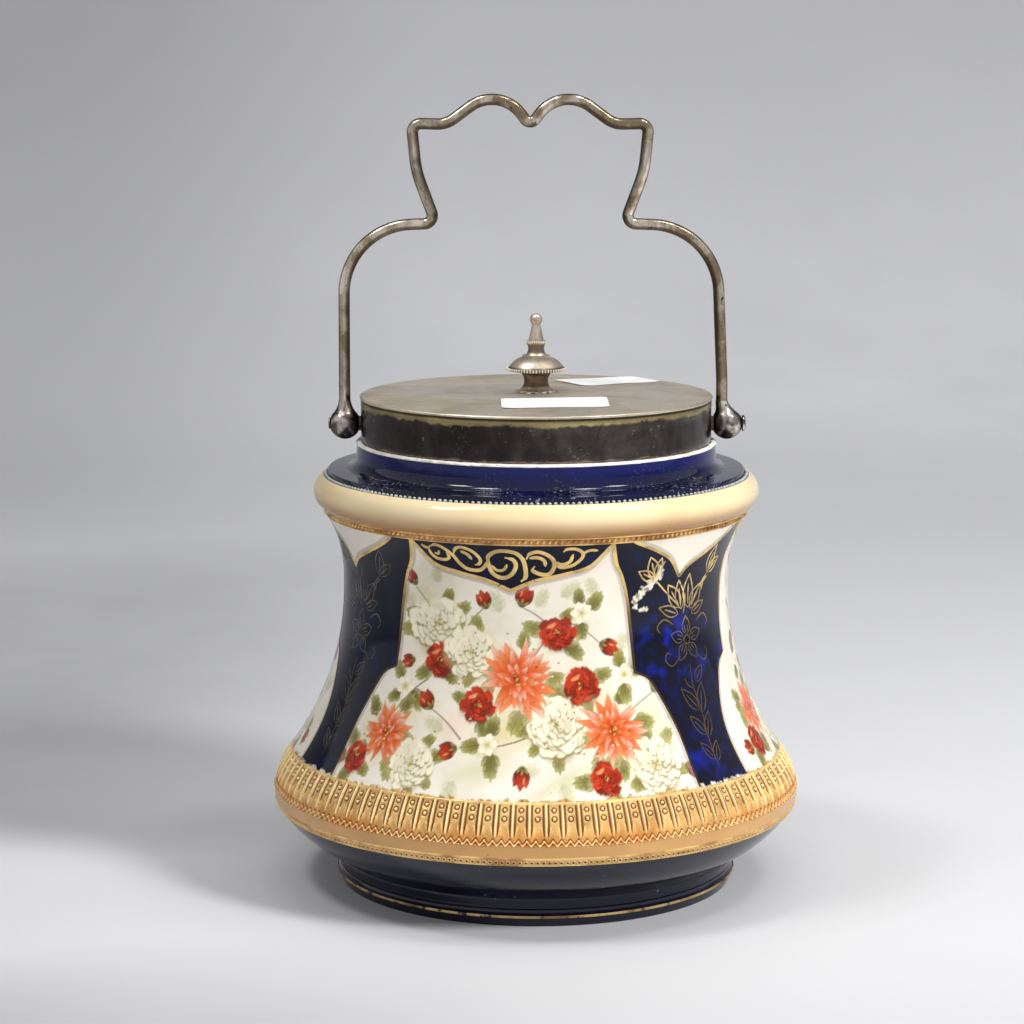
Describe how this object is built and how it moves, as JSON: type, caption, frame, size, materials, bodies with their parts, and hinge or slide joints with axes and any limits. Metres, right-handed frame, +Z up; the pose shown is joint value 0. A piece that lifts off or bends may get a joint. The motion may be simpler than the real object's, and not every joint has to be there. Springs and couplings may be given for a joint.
{
  "type": "biscuit jar",
  "caption": "Waisted earthenware biscuit jar with a moulded roll and ribbed belt, a plated collar, a lift-off lid with a turned finial and a swing handle of bent wire.",
  "frame": {"origin": "centre of the foot on the table", "axes": "+Z up along the jar's axis, the handle's pivots lie along X, and the front faces -Y"},
  "size_m": [0.166, 0.166, 0.2457],
  "materials": {
    "glazed_earthenware": "glossy",
    "cement": "matt",
    "worn_plate": "tarnished",
    "dark_plate": "dark tarnish",
    "wire_plate": "worn satin",
    "silver_plate": "worn satin"
  },
  "bodies": {
    "jar": {"jar_body": "glazed_earthenware", "bedding_plaster": "cement", "collar_band": "worn_plate", "collar_seat_ring": "worn_plate", "pivot_boss_right": "dark_plate", "pivot_boss_left": "dark_plate", "pivot_pin_right": "dark_plate", "pivot_pin_left": "dark_plate"},
    "handle": {"handle_bail": "wire_plate", "handle_ball_right": "dark_plate", "handle_ball_left": "dark_plate"},
    "lid": {"lid_plate": "silver_plate", "lid_flange": "silver_plate", "finial": "silver_plate", "finial_washer": "worn_plate", "finial_nut": "worn_plate"}
  },
  "joints": [
    {"name": "handle_swing", "type": "hinge", "parent": "jar", "child": "handle", "pos_m": [0, 0, 0.1438], "axis": [1, 0, 0], "range_deg": [-102.5, 102.5]},
    {"name": "lid_lift", "type": "slide", "parent": "jar", "child": "lid", "axis": [0, 0, 1], "range_m": [0, 0.02]}
  ]
}
